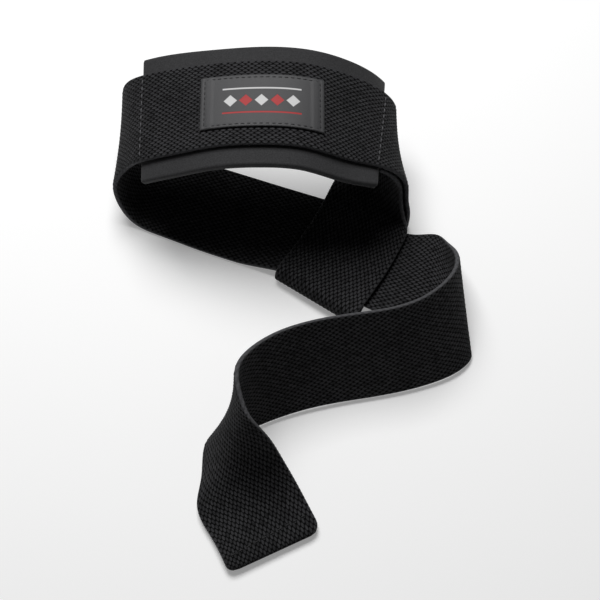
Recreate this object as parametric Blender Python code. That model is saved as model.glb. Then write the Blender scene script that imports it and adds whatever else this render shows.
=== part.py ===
"""A weightlifting strap lying on the floor: webbing threaded through its own eye, a wrist pad and a label.

Units are metres and +Z is up. The origin lies on the floor under the place where the strap passes through its
eye, +X runs from the wrist loop's closed side towards the curl of the tail, and the free end lies towards -Y.
"""
import math
from typing import NamedTuple

import bmesh
import bpy
import numpy as np

STRAP_WIDTH = 0.038
STRAP_THICKNESS = 0.0022
LOOP_WIDTH = 0.117
GAP = 0.0003
EYE_SLACK = 0.0006

HEM_LENGTH = 0.0085
HEM_EXTRA = 0.0012
HEM_STEP = 0.0012
HEM_CORNER = 0.004

PAD_LENGTH = 0.105
PAD_EARLY = 0.0015
PAD_WIDTH = 0.054
PAD_THICKNESS = 0.003
FLAP_CLEARANCE = 0.001

LABEL_LENGTH = 0.048
LABEL_WIDTH = 0.0235
LABEL_THICKNESS = 0.0006

RING_PITCH = 0.0026
FOLD_RINGS = 10


class Station(NamedTuple):
    """One place along the middle of the strap.

    x and y are shares of LOOP_WIDTH. rise is a share of STRAP_WIDTH, above the floor or above the layers
    beneath, which layers counts. heading is the compass angle, from +Y towards +X, of the line across the
    strap from its near edge to its far edge, and lean is how steeply it climbs; both are in degrees.
    """

    name: str
    x: float
    y: float
    rise: float
    layers: int
    heading: float
    lean: float


ROUTE = [
    Station("hem", -0.216, -1.084, 0.037, 0, 64, 0),
    Station("end", -0.251, -1.011, 0.048, 0, 58, -1),
    Station("lift", -0.287, -0.945, 0.075, 0, 55, 4),
    Station("turn_low", -0.338, -0.866, 0.215, 0, 57, 22),
    Station("turn_left", -0.364, -0.790, 0.402, 0, 68, 54),
    Station("turn_high", -0.374, -0.695, 0.470, 0, 88, 70),
    Station("turn_back", -0.333, -0.629, 0.487, 0, -5, 77),
    Station("wall_end", -0.269, -0.568, 0.450, 0, -11, 64),
    Station("wall_left", -0.122, -0.499, 0.424, 0, -11, 57),
    Station("wall_mid", 0.026, -0.465, 0.413, 0, -12, 56),
    Station("wall_right", 0.155, -0.443, 0.418, 0, -14, 57),
    Station("curl_start", 0.265, -0.410, 0.418, 0, -18, 56),
    Station("curl_front", 0.338, -0.368, 0.400, 0, -19, 52),
    Station("curl_side", 0.386, -0.318, 0.360, 0, -15, 46),
    Station("curl_tip", 0.406, -0.265, 0.287, 0, -10, 36),
    Station("curl_back", 0.396, -0.214, 0.208, 0, -4, 25),
    Station("curl_end", 0.354, -0.156, 0.129, 0, 4, 14),
    Station("tail_right", 0.291, -0.113, 0.100, 0, 14, 10),
    Station("tail", 0.216, -0.100, 0.012, 1, 18, 3),
    Station("eye_leave", 0.122, -0.060, 0.000, 1, 21, 0),
    Station("crossing", 0.026, 0.006, 0.000, 1, 23, 0),
    Station("eye_enter", -0.064, 0.039, 0.000, 1, 23, 0),
    Station("floor_right", -0.140, 0.064, 0.000, 1, 23, 0),
    Station("floor_mid", -0.285, 0.110, 0.055, 0, 22, 6),
    Station("floor_left", -0.432, 0.164, 0.050, 0, 21, 6),
    Station("left_floor", -0.581, 0.227, 0.020, 0, 18, 2),
    Station("left_foot", -0.687, 0.275, 0.040, 0, 13, -2),
    Station("left_low", -0.747, 0.316, 0.210, 0, 8, -8),
    Station("left_side", -0.760, 0.347, 0.470, 0, 4, -4),
    Station("left_high", -0.733, 0.357, 0.780, 0, -3, 6),
    Station("top_left", -0.676, 0.341, 1.000, 0, 0, 9),
    Station("top_a", -0.556, 0.331, 1.180, 0, 0, 7),
    Station("top_b", -0.410, 0.322, 1.340, 0, 0, 3),
    Station("top_mid", -0.265, 0.315, 1.413, 0, 0, 3),
    Station("top_c", -0.120, 0.309, 1.387, 0, 0, 4),
    Station("top_right", 0.016, 0.300, 1.225, 0, 2, 5),
    Station("right_high", 0.130, 0.298, 1.010, 0, 6, -6),
    Station("right_side", 0.188, 0.300, 0.760, 0, 0, -14),
    Station("right_low", 0.192, 0.299, 0.570, 0, -10, -14),
    Station("right_foot", 0.172, 0.274, 0.305, 0, -21, -13),
    Station("right_turn", 0.154, 0.258, 0.130, 0, -32, -9),
    Station("right_floor", 0.121, 0.218, -0.004, 0, -46, 0),
    Station("eye_right", 0.091, 0.122, -0.012, 0, -55, 0),
    Station("eye_mid", 0.004, -0.013, -0.012, 0, -56, 0),
    Station("eye_fold", -0.080, -0.168, -0.012, 0, -56, 0),
]

# The flap runs back from the fold over the strap in the eye, then closes on the inside of the loop.
FLAP = [
    Station("flap_mid", 0.013, -0.028, 0.000, 2, -57, 0),
    Station("flap_right", 0.072, 0.081, 0.008, 2, -55, 0),
    Station("flap_lift", 0.104, 0.153, 0.030, 2, -52, 0),
    Station("flap_turn", 0.124, 0.214, 0.070, 2, -37, -5),
    Station("flap_rise", 0.138, 0.248, 0.152, 2, -27, -10),
]
FLAP_CLOSED = 0.006


def unit(rows):
    """Scales each vector along the last axis to length one."""
    return rows / np.linalg.norm(rows, axis=-1, keepdims=True)


def smooth(share):
    """Eases a share from 0 to 1, level at both ends."""
    share = np.clip(share, 0.0, 1.0)
    return share * share * (3.0 - 2.0 * share)


def spline(knots, values, places):
    """Reads a natural cubic spline through the rows of values at the given places."""
    spans = np.diff(knots)
    count = len(knots)
    system = np.eye(count)
    target = np.zeros_like(values)
    for i in range(1, count - 1):
        system[i, i - 1] = spans[i - 1]
        system[i, i] = 2.0 * (spans[i - 1] + spans[i])
        system[i, i + 1] = spans[i]
        after = (values[i + 1] - values[i]) / spans[i]
        before = (values[i] - values[i - 1]) / spans[i - 1]
        target[i] = 6.0 * (after - before)
    bend = np.linalg.solve(system, target)
    low = np.clip(np.searchsorted(knots, places, side="right") - 1, 0, count - 2)
    step = (places - knots[low])[:, None]
    span = spans[low][:, None]
    slope = (values[low + 1] - values[low]) / span - span * (2.0 * bend[low] + bend[low + 1]) / 6.0
    cubic = (bend[low + 1] - bend[low]) / (6.0 * span)
    return values[low] + step * (slope + step * (bend[low] / 2.0 + step * cubic))


def lay(rows):
    """Turns stations into points along the strap's middle and directions across it."""
    middles = []
    across = []
    for row in rows:
        floor = STRAP_THICKNESS / 2.0 + row.layers * (STRAP_THICKNESS + EYE_SLACK)
        middles.append((row.x * LOOP_WIDTH, row.y * LOOP_WIDTH, row.rise * STRAP_WIDTH + floor))
        heading = math.radians(row.heading)
        lean = math.radians(row.lean)
        flat = math.cos(lean)
        across.append((flat * math.sin(heading), flat * math.cos(heading), math.sin(lean)))
    return np.array(middles), np.array(across)


class Strap:
    """A path of the strap: where its middle runs and which way it lies across."""

    def __init__(self, middles, across):
        self.middles = middles
        self.across = across
        steps = np.linalg.norm(np.diff(middles, axis=0), axis=1)
        self.knots = np.concatenate([[0.0], np.cumsum(steps)])
        self.length = self.knots[-1]

    def place(self, name):
        """Gives the distance from the hem to the named station of the route."""
        return self.knots[[row.name for row in ROUTE].index(name)]

    def surface(self, places, half_widths, columns):
        """Gives the points and outward normals of the strap's middle surface, one row for each place.

        places are distances along the path, half_widths the half width at each and columns the points across.
        The floor holds the strap up wherever its path would sink into it.
        """
        places = np.asarray(places)
        lanes = np.linspace(-1.0, 1.0, columns)[None, :, None] * np.asarray(half_widths)[:, None, None]

        def points(at):
            middle = spline(self.knots, self.middles, at)[:, None, :]
            line = unit(spline(self.knots, self.across, at))[:, None, :]
            grid = middle + lanes * line
            grid[..., 2] = np.maximum(grid[..., 2], STRAP_THICKNESS / 2.0)
            return grid, line

        step = 1e-5
        here, line = points(places)
        ahead, _ = points(places + step)
        behind, _ = points(places - step)
        return here, unit(np.cross(ahead - behind, np.broadcast_to(line, here.shape)))


def rings(start, stop):
    """Places from start to stop, no further apart than RING_PITCH."""
    return np.linspace(start, stop, math.ceil(abs(stop - start) / RING_PITCH) + 1)


def solid(name, outer, inner, material):
    """Makes one closed body between two grids of points of the same shape."""
    count, columns, _ = outer.shape
    mesh = bmesh.new()
    upper = [[mesh.verts.new(point) for point in row] for row in outer]
    lower = [[mesh.verts.new(point) for point in row] for row in inner]
    for i in range(count - 1):
        for j in range(columns - 1):
            mesh.faces.new((upper[i][j], upper[i + 1][j], upper[i + 1][j + 1], upper[i][j + 1]))
            mesh.faces.new((lower[i][j], lower[i][j + 1], lower[i + 1][j + 1], lower[i + 1][j]))
        for j in (0, columns - 1):
            mesh.faces.new((upper[i][j], lower[i][j], lower[i + 1][j], upper[i + 1][j]))
    for i in (0, count - 1):
        for j in range(columns - 1):
            mesh.faces.new((upper[i][j], upper[i][j + 1], lower[i][j + 1], lower[i][j]))
    bmesh.ops.recalc_face_normals(mesh, faces=mesh.faces)
    if mesh.calc_volume(signed=True) < 0.0:
        bmesh.ops.reverse_faces(mesh, faces=mesh.faces)
    data = bpy.data.meshes.new(name)
    mesh.to_mesh(data)
    mesh.free()
    data.materials.append(material)
    body = bpy.data.objects.new(name, data)
    bpy.context.scene.collection.objects.link(body)
    return body


def finish(name, colour, roughness):
    """Makes a plain material."""
    material = bpy.data.materials.new(name)
    material.use_nodes = True
    shader = material.node_tree.nodes["Principled BSDF"]
    shader.inputs["Base Color"].default_value = (*colour, 1.0)
    shader.inputs["Roughness"].default_value = roughness
    return material


def build_webbing(strap, pad_end):
    """Builds the webbing from the hemmed end to the flap that is sewn back under the loop."""
    corner = HEM_CORNER * np.array([0.0, 0.08, 0.3, 0.6])
    places = np.concatenate([corner, rings(HEM_CORNER, strap.length)])
    inset = np.clip(HEM_CORNER - places, 0.0, HEM_CORNER)
    half_widths = STRAP_WIDTH / 2.0 - HEM_CORNER + np.sqrt(HEM_CORNER**2 - inset**2)
    points, normals = strap.surface(places, half_widths, 5)
    hem = HEM_EXTRA * (1.0 - smooth((places - HEM_LENGTH) / HEM_STEP))

    # The fold of the eye.
    tip, facing = points[-1], normals[-1]
    ahead = unit(points[-1] - points[-2])
    open_gap = 2.0 * (STRAP_THICKNESS + EYE_SLACK)
    turn = np.linspace(0.0, math.pi, FOLD_RINGS + 1)[1:-1, None, None]
    fold_normals = facing * np.cos(turn) + ahead * np.sin(turn)
    fold_points = tip - facing * open_gap / 2.0 + fold_normals * open_gap / 2.0

    # The flap: open over the crossing, then held against the inside of the strap up to the pad.
    closed = rings(strap.place("right_foot") - FLAP_CLOSED, pad_end + FLAP_CLEARANCE)
    backing, backing_normals = strap.surface(closed, np.full(len(closed), STRAP_WIDTH / 2.0), 3)
    backing = backing - backing_normals * (STRAP_THICKNESS + GAP)
    middles, across = lay(FLAP)
    start = tip[len(tip) // 2] - facing[len(tip) // 2] * open_gap
    flap = Strap(
        np.concatenate([[start], middles, backing[:, 1]]),
        np.concatenate([[unit(tip[-1] - tip[0])], across, unit(backing[:, 2] - backing[:, 0])]),
    )
    back = rings(0.0, flap.length)
    flap_points, flap_normals = flap.surface(back, np.full(len(back), STRAP_WIDTH / 2.0), 5)

    points = np.concatenate([points, fold_points, flap_points])
    normals = np.concatenate([normals, fold_normals, flap_normals])
    extra = np.concatenate([hem, np.zeros(len(points) - len(hem))])[:, None, None]
    half = STRAP_THICKNESS / 2.0
    black = finish("webbing_black", (0.018, 0.018, 0.020), 0.9)
    return solid("webbing_strap", points + normals * (half + extra), points - normals * half, black)


def build_layer(strap, name, start, length, width, thickness, side, columns, material):
    """Builds a flat layer that follows one face of the strap, side being 1 outside and -1 inside."""
    places = rings(start, start + length)
    points, normals = strap.surface(places, np.full(len(places), width / 2.0), columns)
    near = side * (STRAP_THICKNESS / 2.0 + GAP)
    far = near + side * thickness
    return solid(name, points + normals * far, points + normals * near, material)


def main():
    """Clears the scene and builds the three pieces."""
    for body in list(bpy.data.objects):
        bpy.data.objects.remove(body, do_unlink=True)
    strap = Strap(*lay(ROUTE))
    pad_start = strap.place("top_left") - PAD_EARLY
    build_webbing(strap, pad_start + PAD_LENGTH)
    foam = finish("pad_black", (0.032, 0.032, 0.034), 0.75)
    build_layer(strap, "wrist_pad", pad_start, PAD_LENGTH, PAD_WIDTH, PAD_THICKNESS, -1, 7, foam)
    satin = finish("label_black", (0.012, 0.012, 0.013), 0.5)
    label_start = strap.place("top_mid") - LABEL_LENGTH / 2.0
    build_layer(strap, "label_patch", label_start, LABEL_LENGTH, LABEL_WIDTH, LABEL_THICKNESS, 1, 4, satin)


main()
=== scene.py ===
"""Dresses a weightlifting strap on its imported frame.

A black cotton webbing strap is threaded through its own sewn eye into a wrist loop, which carries a foam pad inside
and a woven label outside. The free end curls round in front of the loop and runs out over a pale floor.
Units are metres, +Z is up, and the origin lies on the floor under the place where the strap crosses its eye.
"""

import logging
import math
from dataclasses import dataclass, field
from enum import Enum
from typing import Any, NamedTuple

import bpy
import numpy as np
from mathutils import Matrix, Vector


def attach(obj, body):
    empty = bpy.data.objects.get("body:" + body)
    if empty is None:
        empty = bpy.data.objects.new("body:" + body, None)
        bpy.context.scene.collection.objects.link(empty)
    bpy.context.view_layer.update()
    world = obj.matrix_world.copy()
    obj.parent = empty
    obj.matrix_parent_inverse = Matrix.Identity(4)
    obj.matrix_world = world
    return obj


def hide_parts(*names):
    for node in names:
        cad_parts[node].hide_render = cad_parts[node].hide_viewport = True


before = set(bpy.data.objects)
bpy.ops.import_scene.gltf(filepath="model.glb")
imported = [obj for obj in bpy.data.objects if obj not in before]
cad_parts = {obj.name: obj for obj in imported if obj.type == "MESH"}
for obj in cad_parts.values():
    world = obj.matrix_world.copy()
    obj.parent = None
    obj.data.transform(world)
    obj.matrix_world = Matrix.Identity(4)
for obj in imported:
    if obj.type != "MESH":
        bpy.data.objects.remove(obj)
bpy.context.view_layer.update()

LOG = logging.getLogger("strap")

STRAP_WIDTH = 0.038
STRAP_THICKNESS = 0.0022
LOOP_WIDTH = 0.117
GAP = 0.0003
EYE_SLACK = 0.0006
FLAP_CLOSED = 0.006
FLAP_CLEARANCE = 0.001
PAD_LENGTH = 0.105
PAD_EARLY = 0.0015
PAD_THICKNESS = 0.003
HEM_EXTRA = 0.0012
LABEL_LENGTH = 0.048
LABEL_WIDTH = 0.0235

CLOTH = "cloth_place"


class Station(NamedTuple):
    """One place along the middle of the strap.

    x and y are shares of LOOP_WIDTH. rise is a share of STRAP_WIDTH, above the floor or above the layers beneath,
    which layers counts. heading is the compass angle, from +Y towards +X, of the line across the strap from its near
    edge to its far edge, and lean is how steeply that line climbs; both are in degrees.
    """

    name: str
    x: float
    y: float
    rise: float
    layers: int
    heading: float
    lean: float


ROUTE = [
    Station("hem", -0.216, -1.084, 0.037, 0, 64, 0),
    Station("end", -0.251, -1.011, 0.048, 0, 58, -1),
    Station("lift", -0.287, -0.945, 0.075, 0, 55, 4),
    Station("turn_low", -0.338, -0.866, 0.215, 0, 57, 22),
    Station("turn_left", -0.364, -0.790, 0.402, 0, 68, 54),
    Station("turn_high", -0.374, -0.695, 0.470, 0, 88, 70),
    Station("turn_back", -0.333, -0.629, 0.487, 0, -5, 77),
    Station("wall_end", -0.269, -0.568, 0.450, 0, -11, 64),
    Station("wall_left", -0.122, -0.499, 0.424, 0, -11, 57),
    Station("wall_mid", 0.026, -0.465, 0.413, 0, -12, 56),
    Station("wall_right", 0.155, -0.443, 0.418, 0, -14, 57),
    Station("curl_start", 0.265, -0.410, 0.418, 0, -18, 56),
    Station("curl_front", 0.338, -0.368, 0.400, 0, -19, 52),
    Station("curl_side", 0.386, -0.318, 0.360, 0, -15, 46),
    Station("curl_tip", 0.406, -0.265, 0.287, 0, -10, 36),
    Station("curl_back", 0.396, -0.214, 0.208, 0, -4, 25),
    Station("curl_end", 0.354, -0.156, 0.129, 0, 4, 14),
    Station("tail_right", 0.291, -0.113, 0.100, 0, 14, 10),
    Station("tail", 0.216, -0.100, 0.012, 1, 18, 3),
    Station("eye_leave", 0.122, -0.060, 0.000, 1, 21, 0),
    Station("crossing", 0.026, 0.006, 0.000, 1, 23, 0),
    Station("eye_enter", -0.064, 0.039, 0.000, 1, 23, 0),
    Station("floor_right", -0.140, 0.064, 0.000, 1, 23, 0),
    Station("floor_mid", -0.285, 0.110, 0.055, 0, 22, 6),
    Station("floor_left", -0.432, 0.164, 0.050, 0, 21, 6),
    Station("left_floor", -0.581, 0.227, 0.020, 0, 18, 2),
    Station("left_foot", -0.687, 0.275, 0.040, 0, 13, -2),
    Station("left_low", -0.747, 0.316, 0.210, 0, 8, -8),
    Station("left_side", -0.760, 0.347, 0.470, 0, 4, -4),
    Station("left_high", -0.733, 0.357, 0.780, 0, -3, 6),
    Station("top_left", -0.676, 0.341, 1.000, 0, 0, 9),
    Station("top_a", -0.556, 0.331, 1.180, 0, 0, 7),
    Station("top_b", -0.410, 0.322, 1.340, 0, 0, 3),
    Station("top_mid", -0.265, 0.315, 1.413, 0, 0, 3),
    Station("top_c", -0.120, 0.309, 1.387, 0, 0, 4),
    Station("top_right", 0.016, 0.300, 1.225, 0, 2, 5),
    Station("right_high", 0.130, 0.298, 1.010, 0, 6, -6),
    Station("right_side", 0.188, 0.300, 0.760, 0, 0, -14),
    Station("right_low", 0.192, 0.299, 0.570, 0, -10, -14),
    Station("right_foot", 0.172, 0.274, 0.305, 0, -21, -13),
    Station("right_turn", 0.154, 0.258, 0.130, 0, -32, -9),
    Station("right_floor", 0.121, 0.218, -0.004, 0, -46, 0),
    Station("eye_right", 0.091, 0.122, -0.012, 0, -55, 0),
    Station("eye_mid", 0.004, -0.013, -0.012, 0, -56, 0),
    Station("eye_fold", -0.080, -0.168, -0.012, 0, -56, 0),
]

# The flap runs back from the fold over the strap that passes through the eye, then closes on the inside of the loop.
FLAP = [
    Station("flap_mid", 0.013, -0.028, 0.000, 2, -57, 0),
    Station("flap_right", 0.072, 0.081, 0.008, 2, -55, 0),
    Station("flap_lift", 0.104, 0.153, 0.030, 2, -52, 0),
    Station("flap_turn", 0.124, 0.214, 0.070, 2, -37, -5),
    Station("flap_rise", 0.138, 0.248, 0.152, 2, -27, -10),
]


class Side(Enum):
    """The two faces of the strap, each as the sign of the way it looks."""

    OUTSIDE = 1
    INSIDE = -1


def unit(rows: np.ndarray) -> np.ndarray:
    """Scales each vector along the last axis to length one."""
    return rows / np.linalg.norm(rows, axis=-1, keepdims=True)


def smooth(share: np.ndarray) -> np.ndarray:
    """Eases a share from 0 to 1, level at both ends."""
    share = np.clip(share, 0.0, 1.0)
    return share * share * (3.0 - 2.0 * share)


def spline(knots: np.ndarray, values: np.ndarray, places: np.ndarray) -> np.ndarray:
    """Reads a natural cubic spline through rows of values.

    Args:
        knots: The place of each row along the path.
        values: The rows that the spline passes through.
        places: The places to read.

    Returns:
        One row of values for each place.
    """
    spans = np.diff(knots)
    count = len(knots)
    system = np.eye(count)
    target = np.zeros_like(values)
    for i in range(1, count - 1):
        system[i, i - 1] = spans[i - 1]
        system[i, i] = 2.0 * (spans[i - 1] + spans[i])
        system[i, i + 1] = spans[i]
        after = (values[i + 1] - values[i]) / spans[i]
        before = (values[i] - values[i - 1]) / spans[i - 1]
        target[i] = 6.0 * (after - before)
    bend = np.linalg.solve(system, target)
    low = np.clip(np.searchsorted(knots, places, side="right") - 1, 0, count - 2)
    step = (places - knots[low])[:, None]
    span = spans[low][:, None]
    slope = (values[low + 1] - values[low]) / span - span * (2.0 * bend[low] + bend[low + 1]) / 6.0
    cubic = (bend[low + 1] - bend[low]) / (6.0 * span)
    return values[low] + step * (slope + step * (bend[low] / 2.0 + step * cubic))


def lay(rows: list[Station]) -> tuple[np.ndarray, np.ndarray]:
    """Turns stations into points along the strap's middle and directions across it.

    Args:
        rows: The stations, in order.

    Returns:
        The points and the directions, one row for each station.
    """
    middles = []
    across = []
    for row in rows:
        floor = STRAP_THICKNESS / 2.0 + row.layers * (STRAP_THICKNESS + EYE_SLACK)
        middles.append((row.x * LOOP_WIDTH, row.y * LOOP_WIDTH, row.rise * STRAP_WIDTH + floor))
        heading = math.radians(row.heading)
        lean = math.radians(row.lean)
        flat = math.cos(lean)
        across.append((flat * math.sin(heading), flat * math.cos(heading), math.sin(lean)))
    return np.array(middles), np.array(across)


class Path:
    """A path of the strap: where its middle runs and which way it lies across."""

    def __init__(self, middles: np.ndarray, across: np.ndarray) -> None:
        """Keeps the path and measures it from point to point."""
        self.middles = middles
        self.across = across
        steps = np.linalg.norm(np.diff(middles, axis=0), axis=1)
        self.knots = np.concatenate([[0.0], np.cumsum(steps)])
        self.length = float(self.knots[-1])

    def place(self, name: str) -> float:
        """Gives the distance from the hem to the named station of the route."""
        return float(self.knots[[row.name for row in ROUTE].index(name)])

    def even(self, start: float, stop: float, pitch: float) -> np.ndarray:
        """Gives places from start to stop that lie the same distance apart on the strap, close to pitch.

        Args:
            start: The first place.
            stop: The last place.
            pitch: The distance wanted between neighbours.

        Returns:
            The places, in order.
        """
        fine = np.linspace(start, stop, 4000)
        steps = np.linalg.norm(np.diff(spline(self.knots, self.middles, fine), axis=0), axis=1)
        run = np.concatenate([[0.0], np.cumsum(steps)])
        count = max(2, round(run[-1] / pitch) + 1)
        return np.interp(np.linspace(0.0, run[-1], count), run, fine)

    def surface(self, places: np.ndarray, lanes: np.ndarray) -> tuple[np.ndarray, np.ndarray]:
        """Gives the points and outward normals of the strap's middle surface.

        The floor holds the strap up wherever its path would sink into it.

        Args:
            places: Distances along the path.
            lanes: Distances from the middle, one row for each place or one row for all.

        Returns:
            Points and normals, each with one row for each place.
        """
        places = np.asarray(places, dtype=float)
        lanes = np.broadcast_to(np.asarray(lanes, dtype=float), (len(places), np.shape(lanes)[-1]))[..., None]

        def points(at: np.ndarray) -> tuple[np.ndarray, np.ndarray]:
            """Gives the points and the lines across at places along the path."""
            middle = spline(self.knots, self.middles, at)[:, None, :]
            line = unit(spline(self.knots, self.across, at))[:, None, :]
            grid = middle + lanes * line
            grid[..., 2] = np.maximum(grid[..., 2], STRAP_THICKNESS / 2.0)
            return grid, line

        step = 1e-5
        here, line = points(places)
        ahead, _ = points(places + step)
        behind, _ = points(places - step)
        return here, unit(np.cross(ahead - behind, np.broadcast_to(line, here.shape)))


def ring_faces(count: int, around: int, outer: int) -> list[tuple[int, ...]]:
    """Lists the faces of a closed body made of rings, with its two ends closed by narrow strips.

    Args:
        count: The number of rings.
        around: The points in a ring: an upper row, one edge point, the lower row backwards, the other edge point.
        outer: The points in the upper row.

    Returns:
        The faces as tuples of vertex numbers.
    """
    faces: list[tuple[int, ...]] = []
    for i in range(count - 1):
        row = i * around
        for k in range(around):
            after = (k + 1) % around
            faces.append((row + k, row + after, row + around + after, row + around + k))
    for row, turn in ((0, -1), ((count - 1) * around, 1)):
        upper = [row + k for k in range(outer)]
        lower = [row + 2 * outer - k for k in range(outer)]
        for k in range(outer - 1):
            faces.append((upper[k], upper[k + 1], lower[k + 1], lower[k])[::turn])
        faces.append((upper[-1], row + outer, lower[-1])[::turn])
        faces.append((upper[0], lower[0], row + around - 1)[::turn])
    return faces


def make_body(name: str, rings: np.ndarray, cloth: np.ndarray, outer: int) -> bpy.types.Object:
    """Makes a smooth closed body from rings of points.

    Args:
        name: The piece's name.
        rings: The points, ring by ring.
        cloth: For each point its place on the cloth: along and across in millimetres, and its side.
        outer: The points in the upper row of a ring.

    Returns:
        The new object.
    """
    count, around, _ = rings.shape
    data = bpy.data.meshes.new(name)
    data.from_pydata(rings.reshape(-1, 3).tolist(), [], ring_faces(count, around, outer))
    data.polygons.foreach_set("use_smooth", np.ones(len(data.polygons), dtype=bool))
    place = data.attributes.new(CLOTH, "FLOAT_VECTOR", "POINT")
    place.data.foreach_set("vector", cloth.astype(np.float32).ravel())
    data.update()
    body = bpy.data.objects.new(name, data)
    bpy.context.scene.collection.objects.link(body)
    return body


def wrap(
    points: np.ndarray, normals: np.ndarray, above: np.ndarray, below: np.ndarray, lanes: np.ndarray, along: np.ndarray
) -> tuple[np.ndarray, np.ndarray]:
    """Wraps rings round a middle surface whose first and last columns are its two edges.

    Args:
        points: The middle surface's points.
        normals: The middle surface's outward normals.
        above: The height of the outside over the middle surface at each point.
        below: The depth of the inside under it.
        lanes: Distances from the middle, for each point.
        along: The distance along the cloth, for each ring.

    Returns:
        The rings of points, and each point's place on the cloth in millimetres with its side.
    """
    upper = (points + normals * above[..., None])[:, 1:-1]
    lower = (points - normals * below[..., None])[:, -2:0:-1]
    rings = np.concatenate([upper, points[:, -1:], lower, points[:, :1]], axis=1)
    across = np.concatenate([lanes[:, 1:-1], lanes[:, -1:], lanes[:, -2:0:-1], lanes[:, :1]], axis=1)
    inner = points.shape[1] - 2
    side = np.concatenate([np.ones(inner), [0.0], -np.ones(inner), [0.0]])
    side = np.broadcast_to(side, across.shape)
    run = np.broadcast_to(along[:, None], across.shape)
    return rings, np.stack([run * 1000.0, across * 1000.0, side], axis=-1)


class Wire:
    """A shader socket that takes part in ordinary arithmetic."""

    def __init__(self, bench: "Bench", socket: bpy.types.NodeSocket) -> None:
        """Keeps the socket and the bench that adds nodes for it."""
        self.bench = bench
        self.socket = socket

    def __add__(self, other: Any) -> "Wire":
        """Adds."""
        return self.bench.maths("ADD", self, other)

    __radd__ = __add__

    def __sub__(self, other: Any) -> "Wire":
        """Takes the other away."""
        return self.bench.maths("SUBTRACT", self, other)

    def __rsub__(self, other: Any) -> "Wire":
        """Is taken away from the other."""
        return self.bench.maths("SUBTRACT", other, self)

    def __mul__(self, other: Any) -> "Wire":
        """Multiplies."""
        return self.bench.maths("MULTIPLY", self, other)

    __rmul__ = __mul__

    def __pow__(self, other: Any) -> "Wire":
        """Raises to a power."""
        return self.bench.maths("POWER", self, other)

    def __abs__(self) -> "Wire":
        """Drops the sign."""
        return self.bench.maths("ABSOLUTE", self)

    def cosine(self) -> "Wire":
        """Gives the cosine."""
        return self.bench.maths("COSINE", self)

    def least(self, other: Any) -> "Wire":
        """Gives the smaller of the two."""
        return self.bench.maths("MINIMUM", self, other)

    def most(self, other: Any) -> "Wire":
        """Gives the larger of the two."""
        return self.bench.maths("MAXIMUM", self, other)

    def ramp(self, low: float, high: float) -> "Wire":
        """Eases from 0 at low to 1 at high."""
        return self.bench.node(
            "ShaderNodeMapRange",
            {"interpolation_type": "SMOOTHSTEP"},
            {"Value": self, "From Min": low, "From Max": high},
        )


class Bench:
    """One material's node tree, with a single way to add a node."""

    def __init__(self, name: str) -> None:
        """Starts a material with a Principled shader and its output."""
        self.material = bpy.data.materials.new(name)
        self.material.use_nodes = True
        self.tree = self.material.node_tree
        self.shader = self.tree.nodes["Principled BSDF"]

    def node(
        self,
        kind: str,
        settings: dict[str, Any] | None = None,
        inputs: dict[str | int, Any] | None = None,
        output: str | int = 0,
    ) -> Wire:
        """Adds a node.

        Args:
            kind: The node's type.
            settings: Its properties, which are set first.
            inputs: Values or wires for its sockets, by name or number.
            output: The socket to hand back.

        Returns:
            The wire that leaves the node.
        """
        made = self.tree.nodes.new(kind)
        for name, value in (settings or {}).items():
            setattr(made, name, value)
        for key, value in (inputs or {}).items():
            self.feed(made.inputs[key], value)
        return Wire(self, made.outputs[output])

    def feed(self, socket: bpy.types.NodeSocket, value: Any) -> None:
        """Sets a socket to a value or links a wire to it."""
        if isinstance(value, Wire):
            self.tree.links.new(value.socket, socket)
        else:
            socket.default_value = value

    def maths(self, operation: str, *values: Any) -> Wire:
        """Adds a Math node for the values."""
        return self.node("ShaderNodeMath", {"operation": operation}, dict(enumerate(values)))

    def mix(self, share: Any, first: Any, second: Any) -> Wire:
        """Mixes two colours, share being the part of the second."""
        return self.node("ShaderNodeMix", {"data_type": "RGBA"}, {0: share, 6: first, 7: second}, 2)

    def cloth(self) -> tuple[Wire, Wire, Wire]:
        """Reads the place on the cloth: millimetres along, millimetres across, and the side."""
        place = self.node("ShaderNodeAttribute", {"attribute_name": CLOTH}, output="Vector")
        parts = self.tree.nodes.new("ShaderNodeSeparateXYZ")
        self.feed(parts.inputs[0], place)
        return tuple(Wire(self, socket) for socket in parts.outputs)

    def noise(self, vector: Wire, scale: float, detail: float = 2.0, roughness: float = 0.55) -> Wire:
        """Adds a noise texture read at the vector."""
        return self.node(
            "ShaderNodeTexNoise",
            inputs={"Vector": vector, "Scale": scale, "Detail": detail, "Roughness": roughness},
        )

    def place(self) -> Wire:
        """Gives the place on the object."""
        return self.node("ShaderNodeTexCoord", output="Object")

    def bump(self, height: Wire, distance: float, strength: float = 1.0) -> None:
        """Feeds the shader's normal with a bump of the height."""
        normal = self.node(
            "ShaderNodeBump", inputs={"Height": height, "Distance": distance, "Strength": strength}
        )
        self.feed(self.shader.inputs["Normal"], normal)

    def set(self, **sockets: Any) -> None:
        """Sets or feeds the shader's sockets, named with _ for each space."""
        for name, value in sockets.items():
            self.feed(self.shader.inputs[name.replace("_", " ")], value)


def grey(level: float, blue: float = 1.06) -> tuple[float, float, float, float]:
    """Gives a near-grey colour that is a little cool."""
    return (level, level, level * blue, 1.0)


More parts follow.
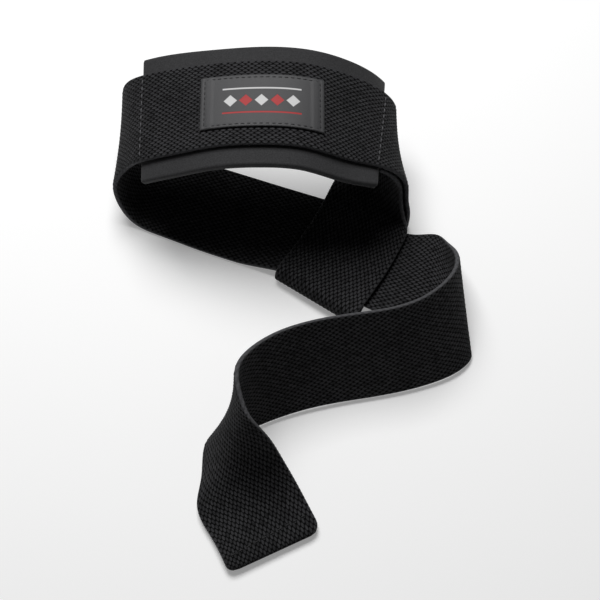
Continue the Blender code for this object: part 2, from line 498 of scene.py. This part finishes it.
@dataclass(frozen=True)
class CottonFinish:
    """Matte black cotton webbing: warp crowns in staggered rows, with painted shade between them and a painted
    highlight on top of each.
    """

    row_pitch: float = 1.35
    lane_pitch: float = 0.95
    float_length: float = 1.2
    float_width: float = 0.60
    # The crown colour is a painted highlight on the floats, and the valley colour is painted shade between them.
    crown_highlight: float = 0.042
    valley_shade: float = 0.0008
    worn: float = 0.095

    def build(self, name: str) -> bpy.types.Material:
        """Makes the material.

        Args:
            name: The material's name.

        Returns:
            The new material.
        """
        bench = Bench(name)
        along, across, side = bench.cloth()
        place = bench.place()
        fuzz = bench.noise(place, 2600.0, 3.0, 0.6)
        lint = bench.noise(place, 520.0, 3.0, 0.6)
        cloud = bench.noise(place, 60.0, 2.0)
        # The yarns wander a little, and the inside shows the crowns that the outside hides.
        drift = bench.noise(place, 260.0, 2.0) - 0.5
        under = (0.5 - side * 0.5).ramp(0.3, 0.7) * self.row_pitch
        run = along + drift * 0.9 + under
        lane = across + (lint - 0.5) * 0.35
        crowns = self.crowns(bench, run, lane, 0.0).most(self.crowns(bench, run, lane, 1.0))
        twist = (along * 2.3 + across * 7.5).cosine() * 0.5 + 0.5
        edge = abs(across).ramp(18.2, 18.9)
        lift = (fuzz * 1.3 + 0.35) * (lint * 1.5 + 0.25) * (cloud * 0.8 + 0.6)
        # Painted light: the crowns take the lighter colour as a painted highlight, and the gaps take the darker one as
        # painted shade.
        share = crowns * lift * (twist * 0.25 + 0.75)
        colour = bench.mix(share, grey(self.valley_shade), grey(self.crown_highlight))
        colour = bench.mix(edge * (fuzz * 1.2 + 0.1), colour, grey(self.worn))
        bench.set(Base_Color=colour, Roughness=0.97 - crowns * 0.12)
        bench.set(Sheen_Weight=0.03, Sheen_Roughness=0.4, Specular_IOR_Level=0.10)
        bench.bump(crowns * 0.55 + fuzz * 0.35 + twist * crowns * 0.15, 0.00035, 0.9)
        return bench.material

    def crowns(self, bench: Bench, along: Wire, across: Wire, shift: float) -> Wire:
        """Draws the rounded floats of the warp in every second row and lane.

        Args:
            bench: The bench of the material.
            along: Millimetres along the cloth.
            across: Millimetres across it.
            shift: The rows and lanes by which the floats are moved over, 0 or 1.

        Returns:
            The height of the floats, from 0 between them to 1 on each crown, uneven from one to the next.
        """
        row, lane = self.row_pitch, self.lane_pitch
        near = bench.maths("WRAP", along + shift * row, row, -row)
        wide = bench.maths("WRAP", across + shift * lane, lane, -lane)
        gap = (near * (1.0 / self.float_length)) ** 2.0 + (wide * (1.0 / self.float_width)) ** 2.0
        height = (1.0 - gap).ramp(-0.05, 0.75)
        cell = bench.node("ShaderNodeCombineXYZ", inputs={0: along + shift * row - near, 1: across - wide, 2: shift})
        tone = bench.node("ShaderNodeTexNoise", inputs={"Vector": cell, "Scale": 0.77, "Detail": 0.0})
        return height * (tone * 1.1 + 0.4)


@dataclass(frozen=True)
class FoamFinish:
    """Matte black foam rubber with a fine closed grain, a little lighter than the webbing."""

    tone: float = 0.050
    dark: float = 0.009

    def build(self, name: str) -> bpy.types.Material:
        """Makes the material.

        Args:
            name: The material's name.

        Returns:
            The new material.
        """
        bench = Bench(name)
        place = bench.place()
        grain = bench.noise(place, 1800.0, 3.0, 0.65)
        pores = bench.noise(place, 5200.0, 1.0)
        cloud = bench.noise(place, 45.0, 2.0)
        share = (grain.ramp(0.2, 0.8) * 0.7 + pores * 0.5) * (cloud * 0.5 + 0.5)
        bench.set(Base_Color=bench.mix(share, grey(self.dark), grey(self.tone)))
        bench.set(Roughness=0.78 + cloud * 0.1)
        bench.set(Sheen_Weight=0.05, Sheen_Roughness=0.5, Specular_IOR_Level=0.3)
        bench.bump(grain * 0.6 + pores * 0.3, 0.00018, 0.7)
        return bench.material


@dataclass(frozen=True)
class LabelFinish:
    """Satin black woven cloth with a row of small diamonds between a thin pale line and a thin red line."""

    half_length: float = 25.0
    half_width: float = 11.0
    ground: float = 0.058
    weft: float = 0.026
    pale: tuple[float, float, float, float] = (0.62, 0.62, 0.62, 1.0)
    red: tuple[float, float, float, float] = (0.40, 0.010, 0.012, 1.0)
    diamond_pitch: float = 6.0
    diamond_half: float = 2.6
    row_half: float = 15.1
    line_height: float = 5.4
    line_half: float = 0.34

    def build(self, name: str) -> bpy.types.Material:
        """Makes the material.

        Args:
            name: The material's name.

        Returns:
            The new material.
        """
        bench = Bench(name)
        along, across, side = bench.cloth()
        top = side.ramp(0.5, 0.9)
        weave = (along * (math.pi / 0.16)).cosine() * (across * (math.pi / 0.21)).cosine() * 0.5 + 0.5
        place = bench.place()
        fuzz = bench.noise(place, 3000.0, 2.0)
        cloud = bench.noise(place, 90.0, 2.0)
        share = weave * 0.45 + fuzz * 0.35 + cloud * 0.2
        cloth = bench.mix(share, grey(self.weft), grey(self.ground))
        # Each diamond is where the steps along and across from its middle add up to less than its half size.
        step = bench.maths("WRAP", along, self.diamond_pitch / 2.0, -self.diamond_pitch / 2.0)
        turn = bench.maths("WRAP", along + self.diamond_pitch / 2.0, self.diamond_pitch, -self.diamond_pitch)
        inside = 1.0 - (abs(step) + abs(across)).ramp(self.diamond_half - 0.12, self.diamond_half + 0.12)
        within = 1.0 - abs(along).ramp(self.row_half - 0.05, self.row_half + 0.05)
        diamonds = inside * within * top
        odd = turn.ramp(-0.01, 0.01)
        motif = bench.mix(odd, self.red, self.pale)
        upper = 1.0 - abs(across - self.line_height).ramp(self.line_half - 0.08, self.line_half + 0.08)
        lower = 1.0 - abs(across + self.line_height).ramp(self.line_half - 0.08, self.line_half + 0.08)
        colour = bench.mix(diamonds, cloth, motif)
        colour = bench.mix(upper * within * top, colour, self.pale)
        colour = bench.mix(lower * within * top, colour, self.red)
        thread = (diamonds + upper * within * top + lower * within * top).least(1.0)
        bench.set(Base_Color=colour, Roughness=0.46 + fuzz * 0.12)
        bench.set(Sheen_Weight=0.05, Specular_IOR_Level=0.4)
        bench.bump(weave * 0.5 + thread * 0.8 + fuzz * 0.2, 0.00012, 0.6)
        return bench.material


@dataclass(frozen=True)
class ThreadFinish:
    """Black sewing thread, a little shinier than the cotton, with its ply running round it."""

    tone: float = 0.030
    dark: float = 0.010

    def build(self, name: str) -> bpy.types.Material:
        """Makes the material.

        Args:
            name: The material's name.

        Returns:
            The new material.
        """
        bench = Bench(name)
        along, across, _ = bench.cloth()
        ply = ((along * 9.0 + across * 6.0) * 1.0).cosine() * 0.5 + 0.5
        fuzz = bench.noise(bench.place(), 3500.0, 2.0)
        bench.set(Base_Color=bench.mix(ply * 0.6 + fuzz * 0.5, grey(self.dark), grey(self.tone)))
        bench.set(Roughness=0.55 + fuzz * 0.15)
        bench.set(Sheen_Weight=0.05, Specular_IOR_Level=0.35)
        bench.bump(ply, 0.00006, 0.8)
        return bench.material


@dataclass(frozen=True)
class FloorFinish:
    """A plain pale studio floor."""

    tone: float = 0.85
    glow: float = 0.25

    def build(self, name: str) -> bpy.types.Material:
        """Makes the material.

        Args:
            name: The material's name.

        Returns:
            The new material.
        """
        bench = Bench(name)
        cloud = bench.noise(bench.place(), 3.0, 2.0)
        bench.set(Base_Color=bench.mix(cloud, grey(self.tone, 1.0), grey(self.tone * 0.98, 1.0)))
        bench.set(Roughness=0.85, Specular_IOR_Level=0.2)
        bench.set(Emission_Color=(1.0, 1.0, 1.0, 1.0), Emission_Strength=self.glow)
        return bench.material


@dataclass
class WovenStrap:
    """The cotton webbing, woven from the hemmed free end to the flap that is sewn back inside the loop."""

    path: Path
    finish: CottonFinish = field(default_factory=CottonFinish)
    ring_pitch: float = 0.000675
    crown_depth: float = 0.00030
    tooth: float = 0.00010
    hem_length: float = 0.0085
    hem_extra: float = HEM_EXTRA
    hem_step: float = 0.0009
    hem_corner: float = 0.004
    fold_rings: int = 13
    seed: int = 7

    def lanes(self) -> np.ndarray:
        """Gives the distances from the middle of the woven columns and the two rounded edges."""
        pitch = self.finish.lane_pitch / 1000.0
        woven = np.arange(-19, 20) * pitch
        edge = STRAP_WIDTH / 2.0
        bend = edge - 0.00038
        return np.concatenate([[-edge, -bend], woven, [bend, edge]])

    def middle(self) -> tuple[np.ndarray, np.ndarray, np.ndarray, float]:
        """Lays out the middle surface from end to end.

        Returns:
            Its points, its outward normals, each ring's width as a share of the full width, and the real length.
        """
        lanes = self.lanes()
        path = self.path
        run = path.even(0.0, path.length, self.ring_pitch)
        inset = np.clip(self.hem_corner - run, 0.0, self.hem_corner)
        half = STRAP_WIDTH / 2.0 - self.hem_corner + np.sqrt(self.hem_corner**2 - inset**2)
        width = half / (STRAP_WIDTH / 2.0)
        points, normals = path.surface(run, lanes[None, :] * width[:, None])

        # The fold of the eye, round half a turn.
        tip, facing = points[-1], normals[-1]
        ahead = unit(points[-1] - points[-2])
        open_gap = 2.0 * (STRAP_THICKNESS + EYE_SLACK)
        turn = np.linspace(0.0, math.pi, self.fold_rings + 1)[1:-1, None, None]
        fold_normals = facing * np.cos(turn) + ahead * np.sin(turn)
        fold_points = tip - facing * open_gap / 2.0 + fold_normals * open_gap / 2.0

        # The flap over the crossing, then up the inside of the loop to the pad.
        pad_end = path.place("top_left") - PAD_EARLY + PAD_LENGTH
        first = path.place("right_foot") - FLAP_CLOSED
        last = pad_end + FLAP_CLEARANCE
        closed = np.linspace(first, last, math.ceil(abs(last - first) / 0.0026) + 1)
        backing, backing_normals = path.surface(closed, np.array([-1.0, 0.0, 1.0]) * STRAP_WIDTH / 2.0)
        backing = backing - backing_normals * (STRAP_THICKNESS + GAP)
        middles, across = lay(FLAP)
        centre = len(lanes) // 2
        start = tip[centre] - facing[centre] * open_gap
        flap = Path(
            np.concatenate([[start], middles, backing[:, 1]]),
            np.concatenate([[unit(tip[-1] - tip[0])], across, unit(backing[:, 2] - backing[:, 0])]),
        )
        back = flap.even(0.0, flap.length, self.ring_pitch)
        flap_points, flap_normals = flap.surface(back, lanes)

        points = np.concatenate([points, fold_points, flap_points])
        normals = np.concatenate([normals, fold_normals, flap_normals])
        width = np.concatenate([width, np.ones(len(points) - len(width))])
        length = float(np.linalg.norm(np.diff(points[:, centre], axis=0), axis=1).sum())
        return points, normals, width, length

    def build(self) -> bpy.types.Object:
        """Weaves and dresses the strap.

        Returns:
            The strap.
        """
        points, normals, width, length = self.middle()
        count = len(points)
        lanes = np.broadcast_to(self.lanes(), (count, len(self.lanes())))
        along = np.arange(count) * self.ring_pitch
        rng = np.random.default_rng(self.seed)
        uneven = 0.8 + 0.2 * rng.random(lanes.shape)
        columns = np.arange(len(self.lanes())) - len(self.lanes()) // 2
        weave = np.cos(np.arange(count) * math.pi / 2.0)[:, None] * np.cos(columns * math.pi)[None, :] * uneven
        half = STRAP_THICKNESS / 2.0
        above = half - self.crown_depth * (1.0 - weave) / 2.0
        below = half - self.crown_depth * (1.0 + weave) / 2.0
        above[:, [1, -2]] = below[:, [1, -2]] = half * 0.74
        above[:, [0, -1]] = below[:, [0, -1]] = 0.0
        inner = np.abs(lanes) < STRAP_WIDTH / 2.0 - 0.0002
        above = above + self.hem_extra * (1.0 - smooth((along - self.hem_length) / self.hem_step))[:, None] * inner
        for ring, share in ((0, 0.45), (1, 0.85), (count - 1, 0.75)):
            above[ring] *= share
            below[ring] *= share

        # Each pick of weft turns back at the edge as a small tooth.
        line = unit(points[:, -1] - points[:, 0])
        tooth = self.tooth * (np.cos(np.arange(count) * math.pi) - 1.0)[:, None] / 2.0 * line
        points[:, -1] += tooth
        points[:, 0] -= tooth
        rings, cloth = wrap(points, normals, above, below, lanes * width[:, None], along)
        strap = make_body("woven_strap", rings, cloth, len(self.lanes()) - 2)
        strap.data.materials.append(self.finish.build("webbing_cotton"))
        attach(strap, "root")
        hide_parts("webbing_strap")
        LOG.info("woven strap: %d rings, %.0f mm long", count, length * 1000.0)
        return strap


@dataclass
class FoamPad:
    """The foam pad inside the loop, wider than the strap, drawn in a little where it is sewn."""

    path: Path
    finish: FoamFinish = field(default_factory=FoamFinish)
    length: float = PAD_LENGTH
    width: float = 0.054
    thickness: float = PAD_THICKNESS
    edge: float = 0.0005
    corner: float = 0.0008
    pitch: float = 0.0008
    seam_inset: float = 0.0022
    seam_dip: float = 0.0007
    seam_reach: float = 0.0022

    def build(self) -> bpy.types.Object:
        """Cuts and dresses the pad.

        Returns:
            The pad.
        """
        start = self.path.place("top_left") - PAD_EARLY
        run = self.path.even(start, start + self.length, self.pitch)
        half = self.width / 2.0
        flat = np.linspace(-(half - self.edge), half - self.edge, 65)
        lanes = np.concatenate([[-half, -half + self.edge * 0.25], flat, [half - self.edge * 0.25, half]])
        steps = np.linalg.norm(np.diff(self.path.surface(run, np.zeros(1))[0][:, 0], axis=0), axis=1)
        along = np.concatenate([[0.0], np.cumsum(steps)])
        to_end = np.minimum(along, along[-1] - along)
        inset = np.clip(self.corner - to_end, 0.0, self.corner)
        share = (half - self.corner + np.sqrt(self.corner**2 - inset**2)) / half
        lanes = lanes[None, :] * share[:, None]
        points, normals = self.path.surface(run, lanes)
        middle = STRAP_THICKNESS / 2.0 + GAP + self.thickness / 2.0
        points = points - normals * middle

        seam = np.exp(-(((to_end - self.seam_inset) / self.seam_reach) ** 2))[:, None]
        held = 1.0 - smooth((np.abs(lanes) - STRAP_WIDTH / 2.0) / 0.004)
        above = np.full(lanes.shape, self.thickness / 2.0) * np.ones_like(lanes)
        below = above - self.seam_dip * seam * held
        for column, rise in ((1, 0.62), (-2, 0.62), (0, 0.0), (-1, 0.0)):
            above[:, column] *= rise
            below[:, column] *= rise
        for ring, rise in ((0, 0.72), (-1, 0.72)):
            above[ring] *= rise
            below[ring] *= rise
        rings, cloth = wrap(points, normals, above, below, lanes, along)
        pad = make_body("foam_pad", rings, cloth, lanes.shape[1] - 2)
        pad.data.materials.append(self.finish.build("pad_foam"))
        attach(pad, "root")
        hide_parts("wrist_pad")
        LOG.info("foam pad: %d rings", len(rings))
        return pad


@dataclass
class WovenLabel:
    """The label sewn on the outside of the loop, with its two ends turned under."""

    path: Path
    finish: LabelFinish = field(default_factory=LabelFinish)
    length: float = LABEL_LENGTH
    width: float = LABEL_WIDTH
    thickness: float = 0.0006
    single: float = 0.00042
    turned: float = 0.0045
    pitch: float = 0.0005

    def build(self) -> bpy.types.Object:
        """Cuts and dresses the label.

        Returns:
            The label.
        """
        start = self.path.place("top_mid") - self.length / 2.0
        run = self.path.even(start, start + self.length, self.pitch)
        half = self.width / 2.0
        flat = np.linspace(-half + 0.0003, half - 0.0003, 43)
        lanes = np.concatenate([[-half], flat, [half]])
        points, normals = self.path.surface(run, lanes)
        bottom = STRAP_THICKNESS / 2.0 + GAP
        steps = np.linalg.norm(np.diff(points[:, len(lanes) // 2], axis=0), axis=1)
        along = np.concatenate([[0.0], np.cumsum(steps)])
        to_end = np.minimum(along, along[-1] - along)
        step = 1.0 - smooth((to_end - self.turned) / 0.0008)
        thick = self.single + (self.thickness - self.single) * step
        sewn = np.exp(-(((to_end - 0.0017) / 0.0006) ** 2))
        thick = (thick - 0.00012 * sewn)[:, None] * np.ones(len(lanes))[None, :]
        side_sewn = np.exp(-(((half - np.abs(lanes)) - 0.0013) / 0.0005) ** 2)[None, :]
        thick = thick - 0.00008 * side_sewn
        above = thick - 0.0001
        below = np.full(thick.shape, 0.0001)
        for column in (0, -1):
            above[:, column] = below[:, column] = 0.0
        for ring in (0, -1):
            above[ring] *= 0.5
        points = points + normals * (bottom + 0.0001)
        spread = np.broadcast_to(lanes, thick.shape)
        rings, cloth = wrap(points, normals, above, below, spread, along - along[-1] / 2.0)
        label = make_body("woven_label", rings, cloth, len(lanes) - 2)
        label.data.materials.append(self.finish.build("label_satin"))
        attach(label, "root")
        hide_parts("label_patch")
        LOG.info("woven label: %d rings", len(rings))
        return label


@dataclass
class StitchRow:
    """One row of stitches across or along the strap.

    start and stop are each a distance along the strap's path and a distance from its middle. height is how far the
    thread stands off the middle surface, on the given side.
    """

    start: tuple[float, float]
    stop: tuple[float, float]
    side: Side
    height: float
    pitch: float = 0.0030
    length: float = 0.0021


@dataclass
class Stitching:
    """Sewing thread: short stitches that arch over the cloth and dip into it at both ends."""

    path: Path
    finish: ThreadFinish = field(default_factory=ThreadFinish)
    radius: float = 0.00024
    dip: float = 0.00032
    rings: int = 7
    around: int = 8

    def row(self, row: StitchRow) -> tuple[np.ndarray, np.ndarray]:
        """Makes the stitches of one row.

        Args:
            row: Where the row runs and how far its stitches lie apart.

        Returns:
            The rings of points of every stitch, and each point's place on the thread.
        """
        first = np.array(row.start)
        last = np.array(row.stop)
        span = float(np.linalg.norm(last - first))
        count = max(1, int(span / row.pitch + 0.5))
        centres = first + (last - first) * ((np.arange(count) + 0.5) / count)[:, None]
        reach = (last - first) / span * row.length / 2.0
        steps = np.linspace(-1.0, 1.0, self.rings)
        turn = np.arange(self.around) / self.around * 2.0 * math.pi
        bodies = []
        places = []
        for centre in centres:
            spots = centre + steps[:, None] * reach
            points, normals = [], []
            for spot in spots:
                point, normal = self.path.surface(np.array([spot[0]]), np.array([spot[1]]))
                points.append(point[0, 0])
                normals.append(normal[0, 0])
            points = np.array(points)
            normals = np.array(normals)
            arch = row.height - self.dip * np.abs(steps) ** 3
            core = points + normals * (row.side.value * arch)[:, None]
            ahead = unit(np.gradient(core, axis=0))
            wide = unit(np.cross(ahead, normals))
            up = unit(np.cross(wide, ahead))
            girth = self.radius * np.sqrt(np.clip(1.0 - 0.96 * steps**4, 0.0, 1.0))[:, None, None]
            ring = np.cos(turn)[None, :, None] * wide[:, None] + np.sin(turn)[None, :, None] * up[:, None]
            bodies.append(core[:, None] + girth * ring)
            thread = np.zeros((self.rings, self.around, 3))
            thread[..., 0] = (steps * row.length * 500.0)[:, None]
            thread[..., 1] = turn[None, :]
            places.append(thread)
        return np.array(bodies), np.array(places)

    def build(self, name: str, slot: str, rows: list[StitchRow], material: bpy.types.Material) -> bpy.types.Object:
        """Sews the rows as one piece.

        Args:
            name: The piece's name.
            slot: The name of the record's material slot for the thread; not used.
            rows: The rows of stitches.
            material: The thread's material.

        Returns:
            The stitches.
        """
        bodies, places = zip(*(self.row(row) for row in rows))
        bodies = np.concatenate(bodies)
        places = np.concatenate(places)
        faces: list[tuple[int, ...]] = []
        size = self.rings * self.around
        for body in range(len(bodies)):
            base = body * size
            for i in range(self.rings - 1):
                for k in range(self.around):
                    after = (k + 1) % self.around
                    low = base + i * self.around
                    faces.append((low + k, low + after, low + self.around + after, low + self.around + k))
            faces.append(tuple(base + k for k in range(self.around))[::-1])
            faces.append(tuple(base + size - self.around + k for k in range(self.around)))
        data = bpy.data.meshes.new(name)
        data.from_pydata(bodies.reshape(-1, 3).tolist(), [], faces)
        data.polygons.foreach_set("use_smooth", np.ones(len(data.polygons), dtype=bool))
        place = data.attributes.new(CLOTH, "FLOAT_VECTOR", "POINT")
        place.data.foreach_set("vector", places.astype(np.float32).ravel())
        data.update()
        data.materials.append(material)
        stitches = bpy.data.objects.new(name, data)
        bpy.context.scene.collection.objects.link(stitches)
        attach(stitches, "root")
        LOG.info("%s: %d stitches", name, len(bodies))
        return stitches

    def sew(self) -> list[bpy.types.Object]:
        """Sews the hem, the pad, the label and the flap.

        Returns:
            The four pieces of stitching.
        """
        thread = self.finish.build("sewing_thread")
        faded = ThreadFinish(tone=0.14, dark=0.04).build("faded_thread")
        half = STRAP_THICKNESS / 2.0
        edge = 0.0172
        pad = self.path.place("top_left") - PAD_EARLY
        sunk = 0.00006
        pad_face = half + GAP + PAD_THICKNESS - 0.00068
        label = self.path.place("top_mid")
        label_top = half + GAP + 0.00046
        ends = (pad + 0.0022, pad + PAD_LENGTH - 0.0022)
        pad_rows = [StitchRow((end, -edge), (end, edge), Side.OUTSIDE, half - sunk) for end in ends]
        pad_rows += [StitchRow((end, -edge), (end, edge), Side.INSIDE, pad_face) for end in ends]
        reach = LABEL_LENGTH / 2.0 - 0.0017
        side = LABEL_WIDTH / 2.0 - 0.0013
        label_rows = []
        for sign in (-1.0, 1.0):
            end = label + sign * reach
            lane = sign * side
            low = label_top - 0.00012
            label_rows.append(StitchRow((end, -side), (end, side), Side.OUTSIDE, label_top, 0.0024, 0.0018))
            label_rows.append(
                StitchRow((label - reach, lane), (label + reach, lane), Side.OUTSIDE, low, 0.0024, 0.0018)
            )
        flap_end = pad + PAD_LENGTH + FLAP_CLEARANCE
        flap_rows = []
        for place in (flap_end + 0.003, flap_end + 0.011):
            height = half * 3.0 + GAP - sunk
            flap_rows.append(StitchRow((place, -edge), (place, edge), Side.INSIDE, height))
        hem = 0.0065
        hem_rows = []
        for face, height in ((Side.INSIDE, half - sunk), (Side.OUTSIDE, half + HEM_EXTRA - sunk)):
            hem_rows.append(StitchRow((hem, -0.0165), (hem, 0.0165), face, height, 0.0034, 0.0024))
        return [
            self.build("hem_stitches", "webbing", hem_rows, thread),
            self.build("pad_stitches", "webbing", pad_rows, faded),
            self.build("label_stitches", "label", label_rows, thread),
            self.build("flap_stitches", "webbing", flap_rows, thread),
        ]


@dataclass
class Studio:
    """The pale floor, the soft lights and the camera at the photograph's angle."""

    floor_size: float = 12.0
    distance: float = 0.65
    elevation: float = 62.0
    focal_pixels: float = 1600.0
    frame_pixels: float = 600.0
    origin_pixel: tuple[float, float] = (340.0, 255.0)

    def floor(self) -> bpy.types.Object:
        """Lays the floor."""
        half = self.floor_size / 2.0
        data = bpy.data.meshes.new("studio_floor")
        corners = [(-half, -half, 0.0), (half, -half, 0.0), (half, half, 0.0), (-half, half, 0.0)]
        data.from_pydata(corners, [], [(0, 1, 2, 3)])
        data.materials.append(FloorFinish().build("pale_floor"))
        floor = bpy.data.objects.new("studio_floor", data)
        bpy.context.scene.collection.objects.link(floor)
        return floor

    def light(
        self, name: str, place: tuple[float, float, float], target: tuple[float, float, float], size: float, power: float
    ) -> bpy.types.Object:
        """Hangs a soft square light.

        Args:
            name: The light's name.
            place: Where it hangs.
            target: What it is turned towards.
            size: The length of its side.
            power: Its power in watts.

        Returns:
            The light.
        """
        lamp = bpy.data.lights.new(name, "AREA")
        lamp.size = size
        lamp.energy = power
        light = bpy.data.objects.new(name, lamp)
        light.location = place
        towards = Vector(target) - Vector(place)
        light.rotation_euler = towards.to_track_quat("-Z", "Y").to_euler()
        bpy.context.scene.collection.objects.link(light)
        return light

    def world(self, strength: float) -> None:
        """Fills the room with a faint even light."""
        world = bpy.data.worlds.new("studio_room")
        world.use_nodes = True
        background = world.node_tree.nodes["Background"]
        background.inputs["Color"].default_value = (1.0, 1.0, 1.0, 1.0)
        background.inputs["Strength"].default_value = strength
        bpy.context.scene.world = world
        bpy.context.scene.view_settings.view_transform = "Standard"

    def camera(self) -> bpy.types.Object:
        """Sets up the camera so that the origin falls on its pixel.

        Returns:
            The camera.
        """
        data = bpy.data.cameras.new("camera")
        data.sensor_width = 36.0
        data.lens = data.sensor_width * self.focal_pixels / self.frame_pixels
        camera = bpy.data.objects.new("camera", data)
        tilt = math.radians(self.elevation)
        back = np.array([0.0, -math.cos(tilt), math.sin(tilt)])
        up = np.array([0.0, math.sin(tilt), math.cos(tilt)])
        right = np.array([1.0, 0.0, 0.0])
        scale = self.distance / self.focal_pixels
        centre = self.frame_pixels / 2.0
        place = back * self.distance
        place -= right * (self.origin_pixel[0] - centre) * scale
        place += up * (self.origin_pixel[1] - centre) * scale
        camera.location = place.tolist()
        camera.rotation_euler = (math.radians(90.0 - self.elevation), 0.0, 0.0)
        bpy.context.scene.collection.objects.link(camera)
        bpy.context.scene.camera = camera
        return camera

    def build(self) -> None:
        """Sets up the floor, the lights and the camera."""
        self.floor()
        self.light("key_light", (-0.14, 0.38, 0.72), (-0.02, -0.02, 0.0), 0.45, 6.6)
        self.world(0.07)
        self.camera()
        LOG.info("studio: floor, soft light and camera")


def main() -> None:
    """Builds every piece in order."""
    logging.basicConfig(level=logging.INFO, format="%(message)s")
    Studio().build()
    path = Path(*lay(ROUTE))
    WovenStrap(path).build()
    FoamPad(path).build()
    WovenLabel(path).build()
    Stitching(path).sew()


if __name__ == "__main__":
    main()
